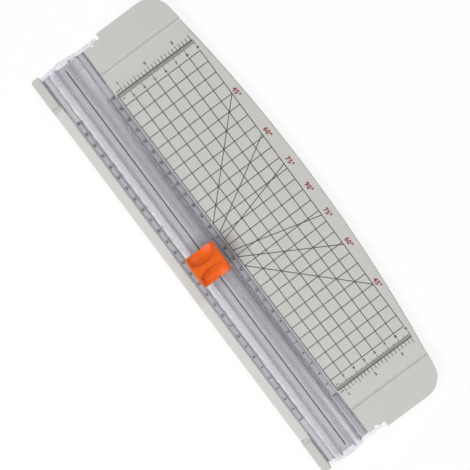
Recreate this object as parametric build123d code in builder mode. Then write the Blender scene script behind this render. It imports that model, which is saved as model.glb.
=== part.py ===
import math
import os

from build123d import *

# Paper cutter whose blade slides along a clear guide rail.
# X runs along the cut, Y across it towards the bowed rear edge, Z up. The origin is on the
# table, under the middle of the object. All sizes are in millimetres.

# Gaps and cuts
running_gap = 0.3
push_fit_gap = 0.05
pin_gap = 0.04
overrun = 1.0

# Base, seen from above
base_length = 370.0
base_width = 128.7
front_margin = 26.5
bow_rise = 14.0
wing_corner_radius = 18.0
front_corner_radius = 2.5
pad_length = 29.1
notch_depth = 4.5
nick_reach = 27.0
nick_radius = 1.75

# Base, heights and walls
foot_proud = 1.2
bed_height = 9.0
bed_thickness = 2.0
bed_edge_radius = 1.2
pad_step = 1.8
cove_run = 2.8
pad_edge_radius = 0.4
pad_root = 3.1
pad_gap = 0.5
front_bevel_drop = 2.0
base_wall = 2.2
rib_thickness = 1.6
cell_columns = 10
cell_rows = 3
spine_width = 7.0
spine_floor = 1.5

# Feet
foot_radius = 6.0
foot_sink = 0.8
foot_chamfer = 0.4
foot_boss_wall = 1.4
foot_inset_x = 26.0
foot_inset_front = 12.5
foot_inset_rear = 28.0

# Cutting strip
strip_width = 0.75
strip_height = 2.0
strip_depth = 1.1

# Guide rail
paper_gap = 0.6
rail_setback = 0.5
rail_half_width = 19.0
flange_root = 1.6
flange_edge = 0.8
flange_edge_radius = 0.5
track_height = 6.0
track_foot_reach = 13.0
track_crest_reach = 7.0
track_shoulder_reach = 12.2
track_shoulder_drop = 1.4
track_roof_bulge = 0.25
track_wall = 1.4
track_roof = 1.3
track_edge_radius = 0.45
track_shoulder_radius = 0.8
valley_half_width = 5.9
valley_floor = 1.2
lip_reach = 1.0
lip_thickness = 1.2
slot_width = 0.75
slot_margin = 2.5

# Rail end caps
cap_thickness = 2.6
cap_front_reach = 18.5
cap_arm_reach = 32.0
cap_front_gap = 1.1
cap_arm_gap = 2.5
cap_edge_radius = 0.8
spigot_length = 10.0
tab_width = 8.0
tab_length = 1.6
tab_height = 3.0
tongue_drop = 5.0
tongue_thickness = 1.8
tongue_bump_radius = 0.8

# Hinge
pin_radius = 0.6
pin_height = 5.5
pin_seat = 3.0
pin_reach = 6.0
barrel_radius = 1.3
barrel_gap = 0.3

# Slider
slider_rest = 2.45
press_travel = 2.2
runner_length = 24.0
runner_height = 3.0
plate_length = 20.8
plate_width = 21.2
plate_thickness = 1.3

# Press cap
finger_length = 25.6
finger_width = 24.9
finger_shift = -0.8
finger_height = 9.8
finger_end_height = 4.3
finger_wall = 1.7
finger_roof = 1.3
finger_corner_radius = 2.0
finger_edge_radius = 1.0
finger_rim_gap = 0.4
scoop_rim = 2.2
scoop_radius = 9.5
scoop_end_radius = 7.0
ridge_waist = 3.9
ridge_edge_radius = 0.6
index_nick_radius = 0.8

# Blade and its holder
blade_thickness = 0.4
blade_width = 7.0
blade_clear = 0.7
blade_stub = 3.1
blade_grind = 0.15
holder_width = 9.2
holder_thickness = 3.8
holder_tang_width = 6.0
holder_tang_height = 5.0
holder_flange = 1.1
holder_flange_height = 0.6
rivet_radius = 0.6
rivet_pitch = 4.4

# Press springs
spring_radius = 1.6
spring_wire = 0.5
spring_turns = 6
spring_spacing = 18.4
spring_well_floor = 1.0

# Places worked out from the sizes above
half_length = base_length / 2
half_width = base_width / 2
cut_y = front_margin - half_width
rear_corner_y = half_width - bow_rise
channel_length = base_length - 2 * pad_length
notch_wall = half_length - notch_depth
notch_front = cap_front_reach + cap_front_gap
notch_rear = cap_arm_reach + cap_arm_gap
notch_width = notch_front + notch_rear
notch_middle = cut_y + (notch_rear - notch_front) / 2
pad_top = bed_height + pad_step
rail_end = notch_wall - rail_setback
rail_bottom = bed_height + paper_gap
rail_top = rail_bottom + track_height
floor_top = rail_bottom + valley_floor
slot_length = 2 * (rail_end - slot_margin)
lip_half_width = valley_half_width - lip_reach
hollow_inner = valley_half_width + track_wall
cap_end = rail_end + cap_thickness
cap_inner = notch_wall + barrel_gap
pin_x = -(notch_wall + barrel_gap + barrel_radius)
runner_bottom = floor_top + running_gap
neck_top = rail_top + running_gap
plate_top = neck_top + plate_thickness
finger_rim = rail_top + press_travel + finger_rim_gap
finger_ceiling = plate_top + press_travel + running_gap
finger_top = finger_rim + finger_height
blade_tip = rail_bottom + blade_clear
holder_bottom = blade_tip + blade_stub
flange_top = holder_bottom + holder_flange_height
pocket_length = holder_width + 2 * running_gap
pocket_width = holder_thickness + 2 * running_gap
flange_pocket_length = holder_width + 2 * (holder_flange + running_gap)


def level(height, x=0.0):
    """Horizontal plane at a height, with its origin on the cut line."""
    return Plane(origin=(x, cut_y, height), x_dir=(1, 0, 0), z_dir=(0, 0, 1))


def across(x):
    """Plane square to the cut line: its own x is Y from the cut line and its own y is Z."""
    return Plane(origin=(x, cut_y, 0), x_dir=(0, 1, 0), z_dir=(1, 0, 0))


def along(reach, x=0.0):
    """Plane parallel to the cut line and facing the front, so many millimetres behind it."""
    return Plane(origin=(x, cut_y + reach, 0), x_dir=(1, 0, 0), z_dir=(0, -1, 0))


def save(piece, name):
    """Label a finished piece and write its file."""
    piece.part.label = name
    export_step(piece.part, f"parts/{name}.step")


os.makedirs("parts", exist_ok=True)


# Base shell: a moulded tray, open underneath, with a grid of ribs

bow_radius = (half_length**2 + bow_rise**2) / (2 * bow_rise)
inner_bow_radius = bow_radius - base_wall
cell_end = notch_wall - base_wall
inner_sag = inner_bow_radius - math.sqrt(inner_bow_radius**2 - cell_end**2)
inner_rear = half_width - base_wall
inner_front = -half_width + base_wall

with BuildSketch() as base_outline:
    with BuildLine():
        ThreePointArc((-half_length, rear_corner_y), (0, half_width), (half_length, rear_corner_y))
        Polyline(
            (half_length, rear_corner_y),
            (half_length, -half_width),
            (-half_length, -half_width),
            (-half_length, rear_corner_y),
        )
    make_face()
    fillet(base_outline.vertices().group_by(Axis.Y)[-1], wing_corner_radius)
    fillet(base_outline.vertices().group_by(Axis.Y)[0], front_corner_radius)
    for end in (-1, 1):
        with Locations((end * (half_length - notch_depth / 2), notch_middle)):
            Rectangle(notch_depth, notch_width, mode=Mode.SUBTRACT)
        with Locations((end * notch_wall, cut_y + nick_reach)):
            Circle(nick_radius, mode=Mode.SUBTRACT)

with BuildSketch() as cell_outline:
    with BuildLine():
        ThreePointArc(
            (-cell_end, inner_rear - inner_sag), (0, inner_rear), (cell_end, inner_rear - inner_sag)
        )
        Polyline(
            (cell_end, inner_rear - inner_sag),
            (cell_end, inner_front),
            (-cell_end, inner_front),
            (-cell_end, inner_rear - inner_sag),
        )
    make_face()
    fillet(cell_outline.vertices().group_by(Axis.Y)[-1], wing_corner_radius - base_wall)

# The hollow underside is cut as cells, so that the ribs are what stays between them.
spine_rear = cut_y + spine_width / 2
spine_front = cut_y - spine_width / 2
column_pitch = (2 * cell_end + rib_thickness) / cell_columns
row_pitch = (inner_rear - spine_rear + rib_thickness) / cell_rows
with BuildSketch(Plane.XY.offset(foot_proud)) as cells:
    for column in range(cell_columns):
        cell_x = -cell_end - rib_thickness / 2 + (column + 0.5) * column_pitch
        for row in range(cell_rows):
            with Locations((cell_x, spine_rear - rib_thickness / 2 + (row + 0.5) * row_pitch)):
                Rectangle(column_pitch - rib_thickness, row_pitch - rib_thickness)
        with Locations((cell_x, (inner_front + spine_front) / 2)):
            Rectangle(column_pitch - rib_thickness, spine_front - inner_front)
    add(cell_outline.sketch, mode=Mode.INTERSECT)

# Raised pads at both ends: they guide the paper's edges and leave the rail its place.
with BuildPart() as raised_pads:
    with BuildSketch(Plane.XY.offset(pad_top - pad_root)):
        add(base_outline.sketch)
        Rectangle(channel_length, 2 * base_width, mode=Mode.SUBTRACT)
        with Locations((0, cut_y)):
            Rectangle(2 * base_length, 2 * (rail_half_width + pad_gap), mode=Mode.SUBTRACT)
    extrude(amount=pad_root)
    # The step down to the bed is a cove that runs out level.
    for end in (-1, 1):
        cove_foot = end * channel_length / 2
        cove_top = cove_foot + end * cove_run
        with BuildSketch(along(base_width)):
            with BuildLine():
                TangentArc((cove_foot, bed_height), (cove_top, pad_top), tangent=(end, 0))
                Polyline(
                    (cove_top, pad_top),
                    (cove_top, pad_top + overrun),
                    (cove_foot, pad_top + overrun),
                    (cove_foot, bed_height),
                )
            make_face()
        extrude(amount=2 * base_width, mode=Mode.SUBTRACT)
    fillet(raised_pads.edges().group_by(Axis.Z)[-1], pad_edge_radius)

foot_places = [
    (column * (half_length - foot_inset_x), y)
    for y in (-half_width + foot_inset_front, half_width - foot_inset_rear)
    for column in (-1, 0, 1)
]
foot_top = foot_proud + foot_sink

with BuildPart() as base_shell:
    with BuildSketch(Plane.XY.offset(foot_proud)):
        add(base_outline.sketch)
    extrude(amount=bed_height - foot_proud)
    fillet(base_shell.edges().group_by(Axis.Z)[-1], bed_edge_radius)
    # The front lip slopes away between the pads.
    with BuildSketch(across(-channel_length / 2)):
        with BuildLine():
            Polyline(
                (-rail_half_width - pad_gap, bed_height),
                (-front_margin - overrun, bed_height - front_bevel_drop),
                (-front_margin - overrun, bed_height + overrun),
                (-rail_half_width - pad_gap, bed_height + overrun),
                close=True,
            )
        make_face()
    extrude(amount=channel_length, mode=Mode.SUBTRACT)
    add(raised_pads.part)
    # Ribbed underside
    add(cells.sketch)
    extrude(amount=bed_height - bed_thickness - foot_proud, mode=Mode.SUBTRACT)
    # The spine under the groove stands clear of the table.
    with BuildSketch(level(foot_proud)):
        Rectangle(2 * cell_end, spine_width)
    extrude(
        amount=bed_height - strip_depth - strip_height - spine_floor - foot_proud, mode=Mode.SUBTRACT
    )
    # Foot bosses with their sockets
    with BuildSketch(Plane.XY.offset(foot_proud)):
        with Locations(foot_places):
            Circle(foot_radius + push_fit_gap + foot_boss_wall)
    extrude(amount=bed_height - bed_thickness - foot_proud)
    with BuildSketch(Plane.XY.offset(foot_proud)):
        with Locations(foot_places):
            Circle(foot_radius + push_fit_gap)
    extrude(amount=foot_sink, mode=Mode.SUBTRACT)
    # Groove for the cutting strip
    with BuildSketch(level(bed_height - strip_depth - strip_height)):
        SlotOverall(slot_length, strip_width + 2 * push_fit_gap)
    extrude(amount=strip_depth + strip_height + overrun, mode=Mode.SUBTRACT)
    # Seats of the hinge pins
    with BuildSketch(along(notch_rear + pin_seat)):
        with Locations((pin_x, pin_height)):
            Circle(pin_radius + pin_gap)
    extrude(amount=notch_width + 2 * pin_seat, mode=Mode.SUBTRACT)
save(base_shell, "base_shell")


# Cutting strip: lies in the groove, below the deepest place of the blade's tip

with BuildPart() as cutting_strip:
    with BuildSketch(level(bed_height - strip_depth - strip_height)):
        SlotOverall(slot_length - 2 * push_fit_gap, strip_width)
    extrude(amount=strip_height)
save(cutting_strip, "cutting_strip")


# Rubber feet

for number, place in enumerate(foot_places, start=1):
    with BuildPart() as rubber_foot:
        with BuildSketch():
            with Locations(place):
                Circle(foot_radius)
        extrude(amount=foot_top)
        chamfer(rubber_foot.edges().group_by(Axis.Z)[0], foot_chamfer)
    save(rubber_foot, f"rubber_foot_{number}")


# Hinge pins: a short one at each end of the rail's hinge barrel

rear_pin = (notch_rear + pin_seat - pin_gap, cap_arm_reach - pin_reach)
front_pin = (pin_reach - cap_front_reach, pin_gap - pin_seat - notch_front)
with BuildPart() as hinge_pins:
    for start, stop in (rear_pin, front_pin):
        with BuildSketch(along(start)):
            with Locations((pin_x, pin_height)):
                Circle(pin_radius)
        extrude(amount=start - stop)
save(hinge_pins, "hinge_pins")


# Guide rail: one moulded section with a valley between two hollow tracks

# Each track falls away outwards from its crest to its shoulder, and then steeply to its foot.
roof_slope = track_shoulder_drop / (track_shoulder_reach - track_crest_reach)
shoulder_top = rail_top - track_shoulder_drop
side_slope = (track_foot_reach - track_shoulder_reach) / (shoulder_top - rail_bottom - flange_root)
hollow_outer_top = track_shoulder_reach - track_wall + side_slope * track_roof
hollow_outer_foot = track_foot_reach - track_wall + side_slope * flange_root
hollow_top = rail_top - track_roof
hollow_shoulder = shoulder_top - track_roof + roof_slope * (track_shoulder_reach - hollow_outer_top)

with BuildPart() as guide_rail:
    with BuildSketch(across(-rail_end)) as rail_section:
        with BuildLine():
            Polyline(
                (0, rail_bottom),
                (hollow_inner, rail_bottom),
                (hollow_inner, hollow_top),
                (hollow_outer_top, hollow_shoulder),
                (hollow_outer_foot, rail_bottom),
                (rail_half_width, rail_bottom),
                (rail_half_width, rail_bottom + flange_edge),
                (track_foot_reach, rail_bottom + flange_root),
                (track_shoulder_reach, shoulder_top),
            )
            SagittaArc(
                (track_crest_reach, rail_top), (track_shoulder_reach, shoulder_top), track_roof_bulge
            )
            Polyline(
                (track_crest_reach, rail_top),
                (lip_half_width, rail_top),
                (lip_half_width, rail_top - lip_thickness),
                (valley_half_width, rail_top - lip_thickness),
                (valley_half_width, floor_top),
                (0, floor_top),
                (0, rail_bottom),
            )
        make_face()
        shoulder = rail_section.vertices().filter_by_position(
            Axis.X, track_shoulder_reach - push_fit_gap, track_shoulder_reach + push_fit_gap
        )
        fillet(shoulder, track_shoulder_radius)
        flange_rim = rail_section.vertices().group_by(Axis.X)[-1].sort_by(Axis.Y)[-1]
        fillet(flange_rim, flange_edge_radius)
        fillet(rail_section.vertices().group_by(Axis.Y)[-1], track_edge_radius)
        mirror(about=Plane.YZ)
    extrude(amount=2 * rail_end)
    with BuildSketch(level(rail_bottom - overrun)):
        SlotOverall(slot_length, slot_width)
    extrude(amount=valley_floor + 2 * overrun, mode=Mode.SUBTRACT)
save(guide_rail, "guide_rail")


# Rail end caps: a shared form at the hinge end, mirrored for the latch end

with BuildPart() as cap_form:
    # End wall that closes the tracks and stops the slider
    with BuildSketch(across(-cap_end)):
        with BuildLine():
            Polyline(
                (-cap_front_reach, rail_bottom),
                (rail_half_width, rail_bottom),
                (rail_half_width, rail_bottom + flange_edge),
                (track_foot_reach, rail_bottom + flange_root),
                (track_shoulder_reach, shoulder_top),
            )
            SagittaArc(
                (track_crest_reach, rail_top), (track_shoulder_reach, shoulder_top), track_roof_bulge
            )
            Line((track_crest_reach, rail_top), (-track_crest_reach, rail_top))
            SagittaArc(
                (-track_shoulder_reach, shoulder_top), (-track_crest_reach, rail_top), track_roof_bulge
            )
            Polyline(
                (-track_shoulder_reach, shoulder_top),
                (-track_foot_reach, rail_bottom + flange_root),
                (-cap_front_reach, rail_bottom + flange_edge),
                (-cap_front_reach, rail_bottom),
            )
        make_face()
    extrude(amount=cap_thickness)
    # Arm beside the rail, in the notch of the base
    with BuildSketch(across(-cap_end)):
        with Locations((rail_half_width, rail_bottom)):
            Rectangle(cap_arm_reach - rail_half_width, flange_root, align=Align.MIN)
    extrude(amount=cap_end - cap_inner)
    fillet(cap_form.edges().filter_by(Axis.Y).group_by(Axis.Z)[-1].sort_by(Axis.X)[0], cap_edge_radius)
    # Finger tab
    with BuildSketch(across(-cap_end - tab_length)):
        with Locations((0, rail_bottom)):
            Rectangle(tab_width, tab_height, align=(Align.CENTER, Align.MIN))
    extrude(amount=tab_length)
    # Spigots in the hollow tracks
    with BuildSketch(across(-rail_end)):
        with BuildLine():
            Polyline(
                (hollow_inner + push_fit_gap, rail_bottom),
                (hollow_inner + push_fit_gap, hollow_top - push_fit_gap),
                (hollow_outer_top - push_fit_gap, hollow_shoulder - push_fit_gap),
                (hollow_outer_foot - push_fit_gap, rail_bottom),
                close=True,
            )
        make_face()
        mirror(about=Plane.YZ)
    extrude(amount=spigot_length)

with BuildPart() as rail_hinge_cap:
    add(cap_form.part)
    # Barrel on the pins, hung from the end wall and the arm
    with BuildSketch(along(cap_arm_reach)):
        with Locations((pin_x, pin_height)):
            Circle(barrel_radius)
        with Locations((pin_x, (pin_height + rail_bottom) / 2)):
            Rectangle(2 * barrel_radius, rail_bottom - pin_height)
    extrude(amount=cap_arm_reach + cap_front_reach)
    for bore_start in (cap_arm_reach, pin_reach + pin_gap - cap_front_reach):
        with BuildSketch(along(bore_start)):
            with Locations((pin_x, pin_height)):
                Circle(pin_radius + pin_gap)
        extrude(amount=pin_reach + pin_gap, mode=Mode.SUBTRACT)
save(rail_hinge_cap, "rail_hinge_cap")

with BuildPart() as rail_latch_cap:
    add(cap_form.part.mirror(Plane.YZ))
    # Tongue that drops into the notch, with the bump that snaps past the base's edge
    with BuildSketch(along(tab_width / 2)):
        with Locations((cap_inner + tongue_bump_radius / 2, rail_bottom)):
            Rectangle(tongue_thickness, tongue_drop, align=(Align.MIN, Align.MAX))
        with Locations((cap_inner + tongue_bump_radius, rail_bottom - tongue_drop + tongue_bump_radius)):
            Circle(tongue_bump_radius)
    extrude(amount=tab_width)
save(rail_latch_cap, "rail_latch_cap")


# Slider shoe: a runner trapped under the lips, a neck between them and a plate on top

with BuildPart() as slider_shoe:
    with BuildSketch(level(runner_bottom, slider_rest)):
        Rectangle(runner_length, 2 * (valley_half_width - running_gap))
    extrude(amount=runner_height)
    with BuildSketch(level(runner_bottom + runner_height, slider_rest)):
        Rectangle(runner_length, 2 * (lip_half_width - running_gap))
    extrude(amount=neck_top - runner_bottom - runner_height)
    with BuildSketch(level(neck_top, slider_rest)):
        with Locations((0, finger_shift)):
            Rectangle(plate_length, plate_width)
    extrude(amount=plate_thickness)
    # Pocket for the blade holder, wider below for the holder's flange
    with BuildSketch(level(runner_bottom - overrun, slider_rest)):
        Rectangle(pocket_length, pocket_width)
    extrude(amount=plate_top - runner_bottom + 2 * overrun, mode=Mode.SUBTRACT)
    with BuildSketch(level(runner_bottom - overrun, slider_rest)):
        Rectangle(flange_pocket_length, pocket_width)
    extrude(amount=flange_top + push_fit_gap - runner_bottom + overrun, mode=Mode.SUBTRACT)
    # Wells for the springs
    with BuildSketch(level(runner_bottom + spring_well_floor, slider_rest)):
        with GridLocations(spring_spacing, 0, 2, 1):
            Circle(spring_radius + running_gap)
    extrude(amount=plate_top - runner_bottom, mode=Mode.SUBTRACT)
save(slider_shoe, "slider_shoe")


# Press cap: crowned finger piece with two scoops and a narrow ridge between them. It sits a little
# in front of the cut line, and so does the plate under it.

scoop_height = finger_ceiling + finger_roof + scoop_radius
scoop_offset = ridge_waist / 2 + math.sqrt(scoop_radius**2 - (scoop_height - finger_top) ** 2)
finger_rear = finger_shift + finger_width / 2
scoop_rear = finger_rear - scoop_rim
scoop_front = finger_rear - finger_width + scoop_rim

with BuildPart() as press_cap:
    with BuildSketch(along(finger_rear, slider_rest)):
        with BuildLine():
            Polyline(
                (-finger_length / 2, finger_rim + finger_end_height),
                (-finger_length / 2, finger_rim),
                (finger_length / 2, finger_rim),
                (finger_length / 2, finger_rim + finger_end_height),
            )
            ThreePointArc(
                (finger_length / 2, finger_rim + finger_end_height),
                (0, finger_top),
                (-finger_length / 2, finger_rim + finger_end_height),
            )
        make_face()
    extrude(amount=finger_width)
    fillet(press_cap.edges().filter_by(Axis.Z), finger_corner_radius)
    fillet(press_cap.faces().sort_by(Axis.Z)[-1].edges(), finger_edge_radius)
    # Finger scoops, barrel shaped so that the ridge is narrowest in the middle
    for end in (-1, 1):
        scoop_x = slider_rest + end * scoop_offset
        with BuildSketch(across(scoop_x)):
            with BuildLine():
                ThreePointArc(
                    (scoop_front, scoop_height - scoop_end_radius),
                    (finger_shift, scoop_height - scoop_radius),
                    (scoop_rear, scoop_height - scoop_end_radius),
                )
                Polyline(
                    (scoop_rear, scoop_height - scoop_end_radius),
                    (scoop_rear, scoop_height),
                    (scoop_front, scoop_height),
                    (scoop_front, scoop_height - scoop_end_radius),
                )
            make_face()
        revolve(axis=Axis((scoop_x, cut_y, scoop_height), (0, 1, 0)), mode=Mode.SUBTRACT)
    ridge_edges = press_cap.edges().filter_by(GeomType.BSPLINE).sort_by(SortBy.LENGTH)[-2:]
    fillet(ridge_edges, ridge_edge_radius)
    # Room for the shoe's plate
    with BuildSketch(level(finger_rim - overrun, slider_rest)):
        with Locations((0, finger_shift)):
            Rectangle(finger_length - 2 * finger_wall, finger_width - 2 * finger_wall)
    extrude(amount=finger_ceiling - finger_rim + overrun, mode=Mode.SUBTRACT)
    # Socket for the holder's tang
    with BuildSketch(level(finger_ceiling - overrun, slider_rest)):
        Rectangle(holder_tang_width + 2 * push_fit_gap, holder_thickness + 2 * push_fit_gap)
    extrude(amount=holder_tang_height + push_fit_gap + overrun, mode=Mode.SUBTRACT)
    # Index nicks over the cut line
    with BuildSketch(level(finger_rim - overrun, slider_rest)):
        with GridLocations(finger_length, 0, 2, 1):
            Circle(index_nick_radius)
    extrude(amount=finger_height, mode=Mode.SUBTRACT)
save(press_cap, "press_cap")


# Blade holder: two halves that clamp the blade, hung from the press cap

half_holder = (holder_thickness - blade_thickness) / 2
rivet_height = (flange_top + finger_ceiling) / 2
for name, near_face in (("holder_front", -blade_thickness / 2), ("holder_rear", holder_thickness / 2)):
    with BuildPart() as holder:
        with BuildSketch(along(near_face, slider_rest)):
            with Locations((0, holder_bottom)):
                Rectangle(holder_width, finger_ceiling - holder_bottom, align=(Align.CENTER, Align.MIN))
                Rectangle(
                    holder_width + 2 * holder_flange,
                    holder_flange_height,
                    align=(Align.CENTER, Align.MIN),
                )
            with Locations((0, finger_ceiling)):
                Rectangle(holder_tang_width, holder_tang_height, align=(Align.CENTER, Align.MIN))
            with Locations((0, rivet_height)):
                with GridLocations(rivet_pitch, 0, 2, 1):
                    Circle(rivet_radius + pin_gap, mode=Mode.SUBTRACT)
        extrude(amount=half_holder)
    save(holder, name)


# Blade: pointed below, so that it cuts both ways

with BuildPart() as blade:
    with BuildSketch(along(blade_thickness / 2, slider_rest)):
        with BuildLine():
            Polyline(
                (0, blade_tip),
                (blade_width / 2, blade_tip + blade_width / 2),
                (blade_width / 2, finger_ceiling),
                (-blade_width / 2, finger_ceiling),
                (-blade_width / 2, blade_tip + blade_width / 2),
                close=True,
            )
        make_face()
        with Locations((0, rivet_height)):
            with GridLocations(rivet_pitch, 0, 2, 1):
                Circle(rivet_radius + pin_gap, mode=Mode.SUBTRACT)
    extrude(amount=blade_thickness)
    chamfer(blade.faces().filter_by(Axis.Y).edges().group_by(Axis.Z)[0], blade_grind)
save(blade, "blade")


# Rivets through the holder halves and the blade

with BuildPart() as blade_rivets:
    with BuildSketch(along(holder_thickness / 2, slider_rest)):
        with Locations((0, rivet_height)):
            with GridLocations(rivet_pitch, 0, 2, 1):
                Circle(rivet_radius)
    extrude(amount=holder_thickness)
save(blade_rivets, "blade_rivets")


# Press springs: wound between the floors of the wells and the ceiling of the press cap

spring_foot = runner_bottom + spring_well_floor
wind_radius = spring_radius - spring_wire / 2
wind_foot = spring_foot + spring_wire / 2 + push_fit_gap
wind_rise = finger_ceiling - spring_foot - spring_wire - 2 * push_fit_gap
turn_steps = 4


def wind_point(turn):
    """Point on the wire's middle line after so many turns, about an upright axis."""
    angle = 2 * math.pi * turn
    height = wind_foot + wind_rise * turn / spring_turns
    return Vector(wind_radius * math.cos(angle), wind_radius * math.sin(angle), height)


def wind_heading(turn):
    """Direction of the wire after so many turns."""
    angle = 2 * math.pi * turn
    round_turn = 2 * math.pi * wind_radius
    heading = Vector(
        -round_turn * math.sin(angle), round_turn * math.cos(angle), wind_rise / spring_turns
    )
    return heading.normalized()


def least_gap(wire):
    """Smallest distance between neighbouring turns, measured on points along the wire."""
    count = 100 * spring_turns
    half_turn = count // (2 * spring_turns)
    points = [wire @ (index / count) for index in range(count + 1)]
    spans = [
        (points[later] - points[index]).length
        for index in range(count + 1)
        for later in range(index + half_turn, count + 1)
    ]
    return min(spans) - spring_wire


for name, end in (("press_spring_left", -1), ("press_spring_right", 1)):
    spring_axis = Vector(slider_rest + end * spring_spacing / 2, cut_y, 0)
    with BuildPart() as press_spring:
        # Each quarter turn is two arcs that share their direction where they meet.
        with BuildLine() as winding:
            for step in range(turn_steps * spring_turns):
                start = spring_axis + wind_point(step / turn_steps)
                stop = spring_axis + wind_point((step + 1) / turn_steps)
                leave = wind_heading(step / turn_steps)
                arrive = wind_heading((step + 1) / turn_steps)
                span = stop - start
                both = leave + arrive
                spread = 2 * (1 - leave.dot(arrive))
                root = math.sqrt(span.dot(both) ** 2 + spread * span.dot(span))
                reach = (root - span.dot(both)) / spread
                before = start + leave * reach
                after = stop - arrive * reach
                TangentArc(start, (before + after) / 2, tangent=leave)
                TangentArc((before + after) / 2, stop, tangent=after - before)
        wire = winding.wire()
        with BuildSketch(Plane(origin=wire @ 0, z_dir=wire % 0)):
            Circle(spring_wire / 2)
        sweep(path=wire)
    print(f"{name}: least gap between turns {least_gap(wire):.2f} mm")
    save(press_spring, name)
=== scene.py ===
# %% [markdown]
# A paper cutter with a sliding blade
#
# The object lies flat: a light grey moulded base with a printed grid, a clear rail that holds the
# paper down and guides the blade, and an orange slider that is pressed and pushed along the rail.
# The solids come ready made from the CAD model. Blender gives them their finishes, and adds what the
# solids leave out: the ink of the grid, the rulers and the numbers, which is too thin for CAD. It also
# makes copies of the springs that ride on the slider.

# %% Load the frame
import math

import bmesh
import bpy
from mathutils import Matrix, Vector


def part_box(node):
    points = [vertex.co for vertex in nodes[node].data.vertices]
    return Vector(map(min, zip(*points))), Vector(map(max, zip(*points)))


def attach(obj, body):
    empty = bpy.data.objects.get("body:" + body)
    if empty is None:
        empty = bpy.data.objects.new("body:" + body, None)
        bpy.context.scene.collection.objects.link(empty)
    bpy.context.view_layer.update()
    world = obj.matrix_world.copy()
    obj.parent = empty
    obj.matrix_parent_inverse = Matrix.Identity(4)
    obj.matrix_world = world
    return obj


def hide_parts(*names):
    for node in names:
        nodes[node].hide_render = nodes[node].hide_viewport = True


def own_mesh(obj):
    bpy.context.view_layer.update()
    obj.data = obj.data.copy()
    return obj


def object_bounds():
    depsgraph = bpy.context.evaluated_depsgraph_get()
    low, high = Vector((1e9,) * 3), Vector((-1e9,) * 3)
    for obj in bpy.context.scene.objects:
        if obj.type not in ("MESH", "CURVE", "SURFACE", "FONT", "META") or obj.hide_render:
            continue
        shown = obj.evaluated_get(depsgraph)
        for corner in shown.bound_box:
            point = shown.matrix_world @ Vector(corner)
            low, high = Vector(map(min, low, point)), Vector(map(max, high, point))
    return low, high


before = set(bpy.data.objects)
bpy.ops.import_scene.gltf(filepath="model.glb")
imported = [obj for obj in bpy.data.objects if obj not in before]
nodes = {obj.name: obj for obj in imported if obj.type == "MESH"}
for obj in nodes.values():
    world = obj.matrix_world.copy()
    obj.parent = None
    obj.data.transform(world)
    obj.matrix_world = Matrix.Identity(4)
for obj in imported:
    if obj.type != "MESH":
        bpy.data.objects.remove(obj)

mm = 0.001
cad_low, cad_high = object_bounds()
cad_size = (cad_high - cad_low) / mm
print(f"{len(nodes)} solids, {cad_size.x:.1f} x {cad_size.y:.1f} x {cad_size.z:.1f} mm")

# %% [markdown]
# Every finish below is a small graph of shader nodes. Two helpers keep the graphs short. Colours
# are written the way a paint chart gives them, as sRGB hex, and shaders calculate in linear light,
# so one function converts them. The other adds a node, sets its values and links its inputs.

# %% Helpers for materials
def linear(hex_colour):
    """Turn an sRGB hex colour into the linear colour that shaders use."""
    shares = [int(hex_colour[i : i + 2], 16) / 255 for i in (1, 3, 5)]
    bent = [s / 12.92 if s <= 0.04045 else ((s + 0.055) / 1.055) ** 2.4 for s in shares]
    return (*bent, 1.0)


def add(tree, kind, inputs=(), **settings):
    """Add one node: settings are its own properties, inputs are values or outputs to link."""
    node = tree.nodes.new("ShaderNode" + kind)
    for name, value in settings.items():
        setattr(node, name, value)
    for socket, value in dict(inputs).items():
        if isinstance(value, bpy.types.NodeSocket):
            tree.links.new(value, node.inputs[socket])
        else:
            node.inputs[socket].default_value = value
    return node


def empty_material(name):
    """A material whose graph is still empty."""
    material = bpy.data.materials.new(name)
    material.use_nodes = True
    material.node_tree.nodes.clear()
    return material, material.node_tree


def per_size(size_mm):
    """Texture scale at which one grain of a noise is about this many millimetres wide."""
    return 1 / (size_mm * mm)


print("sRGB mid grey in linear light:", round(linear("#808080")[0], 3))

# %% [markdown]
# Most plastics here vary a little in colour over centimetres, where the melt flowed in the mould,
# and have a grain of a fraction of a millimetre, copied from the mould's surface. Both are noises
# read at the object's own coordinates, so they stay in place when a piece moves. The grain could
# be real displacement, but at a hundredth of a millimetre a bump is enough.

# %% Colour drift and mould grain
def drifting_colour(tree, place, colour, drifted, drift_mm):
    """Colour that wanders between two close tones over a distance in millimetres."""
    flow = add(tree, "TexNoise", {"Vector": place, "Scale": per_size(drift_mm), "Detail": 2.0})
    tones = add(tree, "ValToRGB", {"Fac": flow.outputs["Fac"]})
    tones.color_ramp.elements[0].color = linear(colour)
    tones.color_ramp.elements[1].color = linear(drifted)
    return tones.outputs["Color"]


def mould_grain(tree, place, grain_mm, depth_mm):
    """Normal of a surface with fine grains of this width and depth in millimetres."""
    grain = add(tree, "TexNoise", {"Vector": place, "Scale": per_size(grain_mm), "Detail": 3.0})
    heights = {"Height": grain.outputs["Fac"], "Distance": depth_mm * mm, "Strength": 1.0}
    return add(tree, "Bump", heights).outputs["Normal"]


def opaque(name, colour, drifted, drift_mm, grain_mm, depth_mm, **finish):
    """An opaque finish with drifting colour and a grain; finish holds the shader's own values."""
    material, tree = empty_material(name)
    place = add(tree, "TexCoord").outputs["Object"]
    inputs = {key.replace("_", " "): value for key, value in finish.items()}
    inputs["Base Color"] = drifting_colour(tree, place, colour, drifted, drift_mm)
    inputs["Normal"] = mould_grain(tree, place, grain_mm, depth_mm)
    surface = add(tree, "BsdfPrincipled", inputs)
    add(tree, "OutputMaterial", {"Surface": surface.outputs["BSDF"]})
    return material


print("a 0.35 mm grain has texture scale", round(per_size(0.35)))

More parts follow.
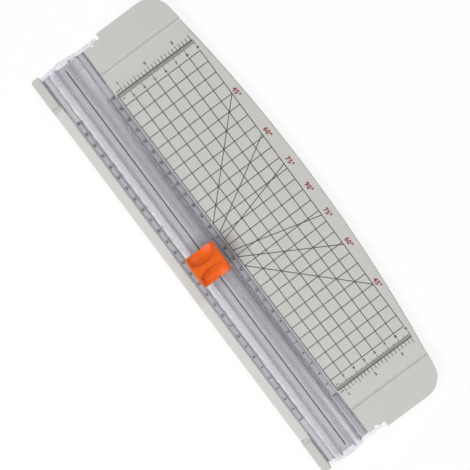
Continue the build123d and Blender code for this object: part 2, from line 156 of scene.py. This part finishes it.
# %% [markdown]
# The base, the slider and the blade holder are injection moulded ABS. The mould of the base is
# spark eroded, which leaves a grain of about a third of a millimetre, so the base is matte with a
# soft sheen. The slider's mould is smoother, which gives the orange its satin gloss. ABS has an
# index of refraction near 1.54.

# %% Moulded ABS
ABS = {"IOR": 1.54}
spark_eroded = {"drift_mm": 60, "grain_mm": 0.35, "depth_mm": 0.02}
satin = {"drift_mm": 12, "grain_mm": 0.25, "depth_mm": 0.006}
dull = {"drift_mm": 8, "grain_mm": 0.25, "depth_mm": 0.01}
base_abs = opaque("abs_spark_eroded_grey", "#C5C4C0", "#C9C8C4", **spark_eroded, Roughness=0.5, **ABS)
orange_abs = opaque(
    "abs_satin_orange", "#E85E0E", "#EC6616", **satin, Roughness=0.38, Specular_IOR_Level=0.25, **ABS
)
holder_abs = opaque("abs_matte_black", "#29292A", "#303031", **dull, Roughness=0.45, **ABS)
print("ABS:", base_abs.name, orange_abs.name, holder_abs.name)

# %% [markdown]
# Under the blade lies a strip of soft dark PVC that the blade may cut into, and the feet are
# moulded rubber. Both are nearly black. PVC keeps a dull sheen, while rubber is so rough that it
# hardly shines at all. The steel of blade, rivets and springs is a metal, so its colour is in its
# reflection, and its roughness says how finely it was ground or drawn.

# %% PVC, rubber and steel
soft_pvc = {"drift_mm": 10, "grain_mm": 0.4, "depth_mm": 0.02}
moulded_rubber = {"drift_mm": 6, "grain_mm": 0.5, "depth_mm": 0.03}
ground_steel = {"drift_mm": 5, "grain_mm": 0.12, "depth_mm": 0.002}
strip_pvc = opaque("pvc_dark_strip", "#1A1A19", "#222221", **soft_pvc, Roughness=0.6, IOR=1.53)
foot_rubber = opaque("rubber_black", "#1E1E1E", "#262626", **moulded_rubber, Roughness=0.85, IOR=1.52)
steel = opaque("spring_steel_ground", "#B9BABC", "#C6C7C9", **ground_steel, Roughness=0.24, Metallic=1.0)
print("dark plastics and steel:", strip_pvc.name, foot_rubber.name, steel.name)

# %% [markdown]
# The rail is clear polystyrene, extruded through a die and so drawn out with faint lines along its
# length. Its end caps and the hinge pins are the same plastic, moulded and polished. Clear plastic is
# a transmission shader with the index of polystyrene, 1.59. Both faces of such a thin wall reflect.
# One coat with a slightly higher index stands for the two, and a black specular tint turns the
# shader's own reflection off, so that the gleam is a single smooth layer. Rendered light would stop
# at the plastic and leave the base dark below, so lamp light and diffuse light pass straight through
# a transparent shader. The caps are so thin that most of what is seen through them is not bent, so
# they let a share of all light pass the same way.

# %% Clear polystyrene
POLYSTYRENE_INDEX = 1.59
CLEAR_TINT = "#FBFBFE"
ETCHED_TINT = "#F0F0F2"
LAMP_TINT = "#F8F8FB"
DEPTH_TINT = "#9A9AA6"
POLISHED = 0.08
DRAWN = 0.2
ETCHED = 0.3
GLEAM = 0.3
GLEAM_INDEX = 1.68


def die_lines(tree, place, line_mm, length_mm, depth_mm):
    """Normal of a surface with faint lines along X, as an extrusion die leaves them."""
    scales = (1 / (length_mm * mm), per_size(line_mm), per_size(line_mm))
    drawn = add(tree, "VectorMath", {0: place, 1: scales}, operation="MULTIPLY")
    lines = add(tree, "TexNoise", {"Vector": drawn.outputs[0], "Scale": 1.0, "Detail": 2.0})
    heights = {"Height": lines.outputs["Fac"], "Distance": depth_mm * mm, "Strength": 1.0}
    return add(tree, "Bump", heights).outputs["Normal"]


def clear_plastic(name, normal_of, surface_of, density, see_through):
    """Clear polystyrene: one function gives its normal, the other its roughness and tint."""
    material, tree = empty_material(name)
    place = add(tree, "TexCoord").outputs["Object"]
    drawn = normal_of(tree, place)
    inputs = {"IOR": POLYSTYRENE_INDEX, "Transmission Weight": 1.0, "Specular Tint": linear("#000000")}
    inputs.update({"Coat Weight": 1.0, "Coat IOR": GLEAM_INDEX, "Coat Roughness": GLEAM})
    inputs.update({"Normal": drawn, "Coat Normal": drawn})
    inputs.update(surface_of(tree, place))
    glass = add(tree, "BsdfPrincipled", inputs)
    passing = add(tree, "BsdfTransparent", {"Color": linear(LAMP_TINT)})
    rays = add(tree, "LightPath").outputs
    lamps = add(
        tree, "Math", {0: rays["Is Shadow Ray"], 1: rays["Is Diffuse Ray"]}, operation="MAXIMUM"
    )
    share = add(tree, "Math", {0: lamps.outputs[0], 1: see_through}, operation="MAXIMUM")
    either = add(
        tree, "MixShader", {0: share.outputs[0], 1: glass.outputs[0], 2: passing.outputs[0]}
    )
    depth = add(tree, "VolumeAbsorption", {"Color": linear(DEPTH_TINT), "Density": density})
    add(tree, "OutputMaterial", {"Surface": either.outputs[0], "Volume": depth.outputs[0]})
    return material


def polished_mould(tree, place):
    """Normal of the caps: a polished mould with hardly any grain."""
    return mould_grain(tree, place, grain_mm=1.5, depth_mm=0.001)


def drawn_rail(tree, place):
    """Normal of the rail: lines along its length, too faint to see from where the camera stands."""
    return die_lines(tree, place, line_mm=1.3, length_mm=9000, depth_mm=0.004)


print("clear polystyrene, index", POLYSTYRENE_INDEX)

# %% [markdown]
# All print is placed from the cut line, because that is where its scales start. Its height comes
# from the solids: a ray from above finds the top of the base, and two rays find the slope of the
# rail's flanges, so that the ink lies on whatever carries it. Along the rail it sits a little off
# the middle, as print often does.

# %% Find the surfaces that carry print
bpy.context.view_layer.update()
strip_low, strip_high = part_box("cutting_strip")
cut_y = (strip_low.y + strip_high.y) / 2


def top_of(node, x, reach):
    """Height of a node's top over a point given in metres, its reach being from the cut line."""
    above = Vector((x, cut_y + reach, cad_high.z + mm))
    found, place, normal, face = nodes[node].ray_cast(above, Vector((0, 0, -1)))
    return place.z


flange_near = 14 * mm
flange_far = 18 * mm
bed_z = top_of("base_shell", 0, -cut_y)
near_z = top_of("guide_rail", 0, flange_near)
flange_fall = near_z - top_of("guide_rail", 0, flange_far)
flange_slope = math.atan2(flange_fall, flange_far - flange_near)
print_shift = 0.6 * mm
on_bed = Matrix.Translation((print_shift, cut_y, bed_z)) @ Matrix.Scale(mm, 4)
print(f"bed at {bed_z / mm:.2f} mm, flanges slope {math.degrees(flange_slope):.1f} degrees")

# %% [markdown]
# Clear plastic looks greyer where it is steep or thick: at the walls and feet of the tracks and along
# the edges. A colour ramp across the rail paints that grey in as shade. Its steps are distances from
# the cut line in millimetres, with tints that were matched by measuring, not worked out. Most are the
# same on both sides of the line. A few belong to one side: they paint the light and shade that the
# lamps in front give the two tracks.

# %% Tints and painted shade across the rail
rail_half_mm = 19.0
# These steps paint shade on the walls, feet and edges of the tracks.
tint_and_shade_steps = (
    (1.6, "#F2F2F4"),
    (5.2, "#D4D4D8"),
    (6.3, "#ECECF0"),
    (8.0, "#D6D6DC"),
    (13.5, "#CECED4"),
    (14.4, "#F4F4F7"),
    (16.6, "#ECECF0"),
    (17.8, "#B6B6BE"),
    (18.7, "#CACAD0"),
)
# These steps of one side paint the light and shade that the lamps in front give.
front_light_and_shade_steps = ((3.4, "#FFFFFF"), (9.6, "#B6B6BC"), (11.3, "#C4C4CA"), (12.4, "#A4A4AA"))
rear_shade_steps = ((3.4, "#DEDDE0"), (9.6, "#C2C2C8"), (11.3, "#B4B4BA"), (12.4, "#D6D6DC"))


def cross_tint(tree, away):
    """Tint and painted shade of the rail at a distance from the cut line, which is negative towards the
    front.
    """
    limits = {"From Min": -rail_half_mm * mm, "From Max": rail_half_mm * mm}
    share = add(tree, "MapRange", {"Value": away, **limits}).outputs["Result"]
    tones = add(tree, "ValToRGB", {"Fac": share})
    tones.color_ramp.elements[0].color = linear(CLEAR_TINT)
    tones.color_ramp.elements[1].color = linear(CLEAR_TINT)
    for side, own_steps in ((-1, front_light_and_shade_steps), (1, rear_shade_steps)):
        for reach_mm, tint in (*tint_and_shade_steps, *own_steps):
            tones.color_ramp.elements.new((1 + side * reach_mm / rail_half_mm) / 2).color = linear(tint)
    return tones.outputs["Color"]


print("tint steps on each side:", len(tint_and_shade_steps) + len(rear_shade_steps))

# %% [markdown]
# The band of each ruler on the rail reaches over the length of its scale and from the foot of the
# track outwards, and it is etched a little matte. A mask is a product of two comparisons in the
# object's coordinates, and its tint multiplies the colour where both hold. Besides the bands, masks
# paint a shadow on the outer edges at the ends. They also paint shade on the wall of the rear track
# along its scale and on the rear flange beyond the scale at the latch end. These three are matched
# to the object's look, like the ramp.

# %% The rail with its etched bands and painted shade
scale_half_mm = 140
band_near_mm = 13.2
channel_half_mm = 152
edge_near_mm = 17.5
wall_mm = 11.8
wall_half_mm = 0.9
# The next three tints paint shadow and shade on the ends, the rear track's wall and the latch end.
EDGE_SHADOW_TINT = "#C8C8CE"
WALL_SHADE_TINT = "#CCCCD2"
SHADE_TINT = "#B8B8C0"


def etched_bands(tree, place):
    """Roughness and tint of the rail: etched along the rulers, with painted shade on the tracks and
    edges.
    """
    axes = add(tree, "SeparateXYZ", {"Vector": place}).outputs
    shifted = add(tree, "Math", {0: axes["X"], 1: print_shift}, operation="SUBTRACT").outputs[0]
    along = add(tree, "Math", {0: shifted}, operation="ABSOLUTE").outputs[0]
    away = add(tree, "Math", {0: axes["Y"], 1: cut_y}, operation="SUBTRACT").outputs[0]
    reach = add(tree, "Math", {0: away}, operation="ABSOLUTE").outputs[0]
    within = add(tree, "Math", {0: along, 1: scale_half_mm * mm}, operation="LESS_THAN").outputs[0]
    outside = add(tree, "Math", {0: reach, 1: band_near_mm * mm}, operation="GREATER_THAN").outputs[0]
    ended = add(tree, "Math", {0: along, 1: channel_half_mm * mm}, operation="GREATER_THAN").outputs[0]
    outer = add(tree, "Math", {0: reach, 1: edge_near_mm * mm}, operation="GREATER_THAN").outputs[0]
    near_wall = {0: away, 1: wall_mm * mm, 2: wall_half_mm * mm}
    wall = add(tree, "Math", near_wall, operation="COMPARE").outputs[0]
    beyond = add(tree, "Math", {0: shifted, 1: scale_half_mm * mm}, operation="GREATER_THAN").outputs[0]
    rear = add(tree, "Math", {0: away, 1: flange_near}, operation="GREATER_THAN").outputs[0]
    band = add(tree, "Math", {0: within, 1: outside}, operation="MULTIPLY").outputs[0]
    rough = add(tree, "MapRange", {"Value": band, "To Min": DRAWN, "To Max": ETCHED})
    colour = cross_tint(tree, away)
    # The etched tint comes first, then the painted shadow and shade.
    for first, second, tint in (
        (within, outside, ETCHED_TINT),
        (ended, outer, EDGE_SHADOW_TINT),
        (within, wall, WALL_SHADE_TINT),
        (beyond, rear, SHADE_TINT),
    ):
        mask = add(tree, "Math", {0: first, 1: second}, operation="MULTIPLY").outputs[0]
        choice = {"Fac": mask, "Color1": colour, "Color2": linear(tint)}
        colour = add(tree, "MixRGB", choice, blend_type="MULTIPLY").outputs["Color"]
    return {"Roughness": rough.outputs["Result"], "Base Color": colour}


def polished(tree, place):
    """Roughness and tint of a polished piece, the same all over."""
    return {"Roughness": POLISHED, "Base Color": linear(CLEAR_TINT)}


rail_clear = clear_plastic(
    "polystyrene_clear_extruded", drawn_rail, etched_bands, density=25.0, see_through=0.0
)
cap_clear = clear_plastic(
    "polystyrene_clear_moulded", polished_mould, polished, density=6.0, see_through=0.8
)
print("clear finishes:", rail_clear.name, cap_clear.name)

# %% [markdown]
# Now each solid from CAD gets the finish of its kind. Only the material slots change: the shapes
# and their places stay as they are.

# %% Finishes of the CAD solids
finishes = {
    "base_shell": base_abs,
    "cutting_strip": strip_pvc,
    "rubber_foot": foot_rubber,
    "guide_rail": rail_clear,
    "rail_hinge_cap": cap_clear,
    "rail_latch_cap": cap_clear,
    "slider_shoe": orange_abs,
    "press_cap": orange_abs,
    "holder": holder_abs,
    "blade": steel,
    "hinge_pins": cap_clear,
    "press_spring": steel,
}
for name, solid in nodes.items():
    start = next(key for key in finishes if name.startswith(key))
    solid.data.materials.clear()
    solid.data.materials.append(finishes[start])
print("solids finished:", ", ".join(sorted(nodes)))

# %% [markdown]
# Two springs lift the finger piece of the slider, and they get shorter when it is pressed. A solid
# from CAD keeps its shape, so a copy of each spring with a mesh of its own stands for it. The copy
# rides on the slider, and the CAD spring is hidden.

# %% Copies of the springs
for side in ("left", "right"):
    node = f"press_spring_{side}"
    coil = bpy.data.objects.new(f"coil_{side}", nodes[node].data.copy())
    bpy.context.scene.collection.objects.link(coil)
    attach(coil, "slider")
    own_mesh(coil)
    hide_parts(node)

# %% [markdown]
# Screen printing ink is thin and slightly rough, and it lies on the plastic as a film of some
# hundredths of a millimetre. Each printed group is a mesh of thin closed bars and letters, so that
# it stays a proper shape in the exported model. Crossing lines come from different passes of the
# screen and lie at slightly different heights, which also keeps their faces apart.

# %% Screen printing ink
film = {"drift_mm": 3, "grain_mm": 0.2, "depth_mm": 0.002, "Roughness": 0.55, "IOR": 1.5}
black_ink = opaque("ink_screen_black", "#1C1C1A", "#242422", **film)
red_ink = opaque("ink_screen_red", "#84221D", "#8E2A25", **film)
ink_sink_mm = 0.02
ink_pass_mm = 0.02


def bar(mesh, start, end, width, layer=1):
    """Add one closed bar of ink between two points, in millimetres on the printed surface."""
    start = Vector(start)
    end = Vector(end)
    run = (end - start).normalized()
    side = Vector((-run.y, run.x)) * width / 2
    outline = (start - side, end - side, end + side, start + side)
    low = [mesh.verts.new((p.x, p.y, -ink_sink_mm)) for p in outline]
    high = [mesh.verts.new((p.x, p.y, layer * ink_pass_mm)) for p in outline]
    mesh.faces.new(high)
    mesh.faces.new(low[::-1])
    for i in range(4):
        j = (i + 1) % 4
        mesh.faces.new((low[i], low[j], high[j], high[i]))


def print_on(name, mesh, where, body, ink):
    """Make a printed piece of a mesh drawn in millimetres, and let it ride on its body."""
    data = bpy.data.meshes.new(name)
    mesh.to_mesh(data)
    mesh.free()
    data.transform(where)
    data.materials.append(ink)
    piece = bpy.data.objects.new(name, data)
    bpy.context.scene.collection.objects.link(piece)
    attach(piece, body)
    print(f"{name}: {len(data.polygons)} faces on {body}")
    return piece


# %% [markdown]
# The grid of centimetre squares starts 20 mm behind the cut line, just behind the rail, and ends
# at 90 mm. Its upright lines and cross lines are two passes. The front line runs on to the rulers
# at both ends.

# %% Grid
grid_front_mm = 20
grid_rear_mm = 90
grid_half_mm = 130
square_mm = 10
fine_line_mm = 0.61
grid = bmesh.new()
for x in range(-grid_half_mm, grid_half_mm + 1, square_mm):
    bar(grid, (x, grid_front_mm), (x, grid_rear_mm), fine_line_mm, layer=1)
for y in range(grid_front_mm, grid_rear_mm + 1, square_mm):
    half = scale_half_mm if y == grid_front_mm else grid_half_mm
    bar(grid, (-half, y), (half, y), fine_line_mm, layer=2)
print_on("print_grid", grid, on_bed, "base", black_ink)

# %% [markdown]
# Lines at 45, 60 and 75 degrees fan out from one point on the cut line, for angled cuts. They are
# clipped to the grid, so each is worked out from where its angle crosses the front and rear lines.

# %% Angle lines
angles = (45, 60, 75)
fan = bmesh.new()
for angle in angles:
    lean = 1 / math.tan(math.radians(angle))
    for side in (-1, 1):
        ends = [(side * lean * y, y) for y in (grid_front_mm, grid_rear_mm)]
        bar(fan, *ends, fine_line_mm, layer=3)
print_on("print_angle_lines", fan, on_bed, "base", black_ink)

# %% [markdown]
# A ruler closes the grid at each end. A thick line carries millimetre ticks towards the grid and
# eighths of an inch towards the ends. Ticks have their own lengths at the half and the whole units.

# %% End rulers
ruler_line_mm = 0.7
tick_line_mm = 0.5
inch_mm = 25.4
eighths = 8
millimetre_ticks = (4.7, 3.7, 3.0)
eighth_ticks = (3.9, 4.9, 3.7)


def tick_length(step, per_unit, lengths):
    """Length of a scale's tick: the lengths are for whole units, for halves and for the rest."""
    whole, half, short = lengths
    if step % per_unit == 0:
        return whole
    return half if step % (per_unit // 2) == 0 else short


rulers = bmesh.new()
first_eighth = math.ceil(eighths * grid_front_mm / inch_mm) + 1
last_eighth = math.floor(eighths * grid_rear_mm / inch_mm)
for side in (-1, 1):
    edge = side * scale_half_mm
    bar(rulers, (edge, grid_front_mm), (edge, grid_rear_mm), ruler_line_mm, layer=2)
    for step in range(grid_front_mm, grid_rear_mm + 1):
        inner = edge - side * tick_length(step, square_mm, millimetre_ticks)
        bar(rulers, (edge, step), (inner, step), tick_line_mm)
    for step in range(first_eighth, last_eighth + 1):
        y = step * inch_mm / eighths
        outer = edge + side * tick_length(step, eighths, eighth_ticks)
        bar(rulers, (edge, y), (outer, y), tick_line_mm)
print_on("print_end_rulers", rulers, on_bed, "base", black_ink)

# %% [markdown]
# Numbers and letters come from Blender's own font. A text object is turned into a mesh, scaled so
# that its digits have a real height in millimetres, and its front and side faces are welded into
# closed letters. The outline is offset outwards a little, because the printed numbers are bold.

# %% Letters of ink
letter_weight = 0.04
letter_space = 1.12
letter_resolution = 3
weld_share = 1 / 2000


def letter_mesh(words):
    """Closed letters of a string at font size 1, as a mesh centred on its origin."""
    text = bpy.data.curves.new("letters", "FONT")
    text.body = words
    text.align_x = "CENTER"
    text.align_y = "CENTER"
    text.resolution_u = letter_resolution
    text.extrude = 0.5
    text.offset = letter_weight
    text.space_character = letter_space
    carrier = bpy.data.objects.new("letters", text)
    bpy.context.scene.collection.objects.link(carrier)
    ready = carrier.evaluated_get(bpy.context.evaluated_depsgraph_get())
    data = bpy.data.meshes.new_from_object(ready)
    bpy.data.objects.remove(carrier)
    bpy.data.curves.remove(text)
    return data


digit = letter_mesh("8")
digit_rise = max(v.co.y for v in digit.vertices) - min(v.co.y for v in digit.vertices)
bpy.data.meshes.remove(digit)


def letters(mesh, words, place, height, turn=0.0):
    """Add letters of ink, with digits of this height, centred on a point and turned."""
    data = letter_mesh(words)
    scale = height / digit_rise
    depth = ink_sink_mm + ink_pass_mm
    lift = Matrix.Translation((*place, (ink_pass_mm - ink_sink_mm) / 2))
    spin = Matrix.Rotation(math.radians(turn), 4, "Z")
    data.transform(lift @ spin @ Matrix.Diagonal((scale, scale, depth, 1)))
    made = bmesh.new()
    made.from_mesh(data)
    bmesh.ops.remove_doubles(made, verts=made.verts, dist=height * weld_share)
    made.to_mesh(data)
    made.free()
    mesh.from_mesh(data)
    bpy.data.meshes.remove(data)


print(f"a digit at font size 1 is {digit_rise:.2f} high")

# %% [markdown]
# The numbers of the end rulers count from the cut line and read along the ruler, turned a quarter.
# The centimetres stand inside, the inches outside, and the unit of each stands at its start.

# %% Numbers of the end rulers
ruler_digit_mm = 2.75
unit_digit_mm = 1.5
centimetre_inset_mm = 7.2
inch_outset_mm = 6.9
unit_outset_mm = 2.2
unit_inset_mm = 4.6
unit_reach_mm = 22.4
quarter = 90
counts = bmesh.new()
for side in (-1, 1):
    edge = side * scale_half_mm
    inside = edge - side * centimetre_inset_mm
    outside = edge + side * inch_outset_mm
    for y in range(grid_front_mm + square_mm, grid_rear_mm + 1, square_mm):
        letters(counts, str(y // square_mm), (inside, y), ruler_digit_mm, quarter)
    for inches in (1, 2, 3):
        letters(counts, str(inches), (outside, inches * inch_mm), ruler_digit_mm, quarter)
    letters(counts, "cm", (edge - side * unit_inset_mm, unit_reach_mm), unit_digit_mm, quarter)
    letters(counts, "inch", (edge + side * unit_outset_mm, unit_reach_mm), unit_digit_mm, quarter)
print_on("print_ruler_numbers", counts, on_bed, "base", black_ink)

# %% [markdown]
# The angles are named in red behind the grid. The labels follow the bowed rear edge a little, so
# the outer ones sit closer to the grid than the middle one.

# %% Angle labels
label_digit_mm = 4.0
label_shift_mm = 1.0
label_middle_mm = 94.7
label_end_mm = 93.4
widest = grid_rear_mm / math.tan(math.radians(angles[0]))
names = bmesh.new()
for side in (-1, 1):
    for angle in angles:
        x = side * grid_rear_mm / math.tan(math.radians(angle))
        y = label_middle_mm + (label_end_mm - label_middle_mm) * (x / widest) ** 2
        letters(names, f"{angle}°", (x + label_shift_mm, y), label_digit_mm)
letters(names, "90°", (label_shift_mm, label_middle_mm), label_digit_mm)
print_on("print_angle_labels", names, on_bed, "base", red_ink)

# %% [markdown]
# Each flange of the rail carries a centimetre scale, 30 at the hinge end down to 2 at the latch
# end. The ticks stand along the foot of the track and the numbers outside them. The flange slopes
# down outwards, so the drawing is turned by the slope before it is set down on it.

# %% Rail scales
rail_tick_mm = 13.3
rail_number_mm = 16.2
rail_digit_mm = 2.0
rail_first = 30
rail_line_mm = 0.3
near_mm = flange_near / mm
rail_ticks = (1.7, 1.4, 1.1)
for side, name in ((1, "rear"), (-1, "front")):
    seat = Matrix.Translation((print_shift, cut_y + side * flange_near, near_z))
    tilt = Matrix.Rotation(-side * flange_slope, 4, "X")
    on_flange = seat @ tilt @ Matrix.Scale(mm, 4)
    stretch = 1 / math.cos(flange_slope)
    scale = bmesh.new()
    for step in range(-scale_half_mm, scale_half_mm + 1):
        ends = [rail_tick_mm, rail_tick_mm + tick_length(step, square_mm, rail_ticks)]
        ends = [side * (reach - near_mm) * stretch for reach in ends]
        bar(scale, (step, ends[0]), (step, ends[1]), rail_line_mm)
    for step in range(-scale_half_mm, scale_half_mm + 1, square_mm):
        number = rail_first - (step + scale_half_mm) // square_mm
        letters(scale, str(number), (step, side * (rail_number_mm - near_mm) * stretch), rail_digit_mm)
    print_on(f"print_rail_scale_{name}", scale, on_flange, "rail", black_ink)

# %% [markdown]
# The object lies on a plain pale table that runs on to the background. The table takes shadows as a
# matte surface does, and to the camera it is mostly a plain white, so that the object stands free
# on white while its own light stays at a normal level. Reflections and clear plastic see the same
# white. Away from the object the table becomes all white, so that no horizon shows.

# %% Table and surroundings
table_white = "#FCFCFA"
table_glow_share = 0.86
fade_near_m = 0.3
fade_far_m = 1.2
table_half_m = 4.0
table_drop_mm = 0.05


def seen_rays(tree):
    """1 for rays from the camera, from gloss and through clear plastic, else 0."""
    rays = add(tree, "LightPath").outputs
    seen = add(
        tree, "Math", {0: rays["Is Camera Ray"], 1: rays["Is Glossy Ray"]}, operation="MAXIMUM"
    )
    both = add(
        tree, "Math", {0: seen.outputs[0], 1: rays["Is Transmission Ray"]}, operation="MAXIMUM"
    )
    return both.outputs[0]


table_matte, tree = empty_material("table_matte_white")
place = add(tree, "TexCoord").outputs["Object"]
distance = add(tree, "VectorMath", {0: place}, operation="LENGTH").outputs["Value"]
fade = {"From Min": fade_near_m, "From Max": fade_far_m, "To Min": table_glow_share, "To Max": 1.0}
white_share = add(tree, "MapRange", {"Value": distance, **fade}).outputs["Result"]
share = add(tree, "Math", {0: seen_rays(tree), 1: white_share}, operation="MULTIPLY")
matte = add(tree, "BsdfDiffuse", {"Color": linear(table_white)})
glow = add(tree, "Emission", {"Color": linear("#FFFFFF"), "Strength": 1.0})
shown = add(tree, "MixShader", {0: share.outputs[0], 1: matte.outputs[0], 2: glow.outputs[0]})
add(tree, "OutputMaterial", {"Surface": shown.outputs[0]})

drawing = bmesh.new()
bmesh.ops.create_grid(drawing, x_segments=1, y_segments=1, size=table_half_m)
table_data = bpy.data.meshes.new("table")
drawing.to_mesh(table_data)
drawing.free()
table_data.materials.append(table_matte)
table = bpy.data.objects.new("table", table_data)
table.location.z = -table_drop_mm * mm
bpy.context.scene.collection.objects.link(table)
print("table top at", round(table.location.z / mm, 2), "mm")

# %% [markdown]
# The room is white at eye level and darker towards the ceiling, as a studio is between its lamps.
# Its light is soft and comes from all round. What the camera and the reflections see of it is the
# white level, and the share that lights the object is lower, so that the lamps give it its shape.

# %% Room light
room_light = 0.08
wall_white = "#FFFFFF"
ceiling_grey = "#606060"
ceiling_rise = 0.6
world = bpy.data.worlds.new("room")
bpy.context.scene.world = world
world.use_nodes = True
tree = world.node_tree
tree.nodes.clear()
direction = add(tree, "TexCoord").outputs["Generated"]
rise = add(tree, "SeparateXYZ", {"Vector": direction}).outputs["Z"]
tones = add(tree, "ValToRGB", {"Fac": rise})
tones.color_ramp.elements[0].color = linear(wall_white)
tones.color_ramp.elements[1].color = linear(ceiling_grey)
tones.color_ramp.elements[1].position = ceiling_rise
lit = add(tree, "Background", {"Color": linear(wall_white), "Strength": room_light})
mirrored = add(tree, "Background", {"Color": tones.outputs["Color"], "Strength": 1.0})
white = add(tree, "Background", {"Color": linear(wall_white), "Strength": 1.0})
rays = add(tree, "LightPath").outputs
plain = add(tree, "Math", {0: rays["Is Camera Ray"], 1: rays["Is Transmission Ray"]}, operation="MAXIMUM")
glossy = add(tree, "MixShader", {0: rays["Is Glossy Ray"], 1: lit.outputs[0], 2: mirrored.outputs[0]})
either = add(tree, "MixShader", {0: plain.outputs[0], 1: glossy.outputs[0], 2: white.outputs[0]})
add(tree, "OutputWorld", {"Surface": either.outputs[0]})
print("room light", room_light)

# %% [markdown]
# One long softbox hangs over the front side and a dimmer one nearer the top. The roof of the front
# track curves from level to steep, so its outer part mirrors the first and its crest the second,
# which draws the broad bright band along the rail. Two smaller ones at the rear light mainly the ends
# of the other track. Cycles gives an area lamp of power P and area A the radiance P / 4A.

# %% Softboxes
def softbox(name, place, size, radiance):
    """A rectangular lamp in metres that faces the middle of the rail."""
    lamp = bpy.data.lights.new(name, "AREA")
    lamp.shape = "RECTANGLE"
    lamp.size, lamp.size_y = size
    lamp.energy = radiance * 4 * size[0] * size[1]
    carrier = bpy.data.objects.new(name, lamp)
    carrier.location = place
    facing = Vector((0, cut_y, 0)) - Vector(place)
    facing.x = 0 if abs(place[0]) < size[0] / 2 else facing.x
    carrier.rotation_euler = facing.to_track_quat("-Z", "Y").to_euler()
    bpy.context.scene.collection.objects.link(carrier)
    return carrier


hang = 1.2
# Name, place along the rail in metres, lean to the rear in degrees, size in metres, radiance
boxes = (
    ("front", 0.05, -41, (2.0, 0.5), 4.75),
    ("top", 0.05, -24, (2.0, 0.6), 0.65),
    ("hinge", -0.78, 36, (0.46, 0.66), 6.0),
    ("latch", 0.76, 20, (0.46, 0.26), 9.5),
)
for name, x, lean, size, radiance in boxes:
    place = (x, cut_y + hang * math.tan(math.radians(lean)), hang)
    softbox(f"softbox_{name}", place, size, radiance)
print(len(boxes), "softboxes hang at", hang, "m")

# %% [markdown]
# The camera looks almost straight down, turned so that the cutter runs across the picture from top
# left to bottom right. Its place and directions were measured from the grid: its squares are one
# centimetre, so they say how far away and how tilted the camera was.

# %% Camera
lens_mm = 50
camera_x, camera_reach, camera_z = -0.0205, 0.0301, 0.5038
camera_right = Vector((0.59767, 0.80154, 0.01836)).normalized()
camera_back = Vector((-0.03634, 0.0042, 0.99933)).normalized()
camera_up = camera_back.cross(camera_right).normalized()
camera_right = camera_up.cross(camera_back)
view = bpy.data.cameras.new("camera")
view.lens = lens_mm
camera = bpy.data.objects.new("camera", view)
axes = Matrix((camera_right, camera_up, camera_back)).transposed().to_4x4()
camera.matrix_world = Matrix.Translation((camera_x, cut_y + camera_reach, camera_z)) @ axes
bpy.context.scene.collection.objects.link(camera)
bpy.context.scene.camera = camera
bpy.context.scene.view_settings.view_transform = "Standard"
print("camera at", tuple(round(c, 4) for c in camera.location))
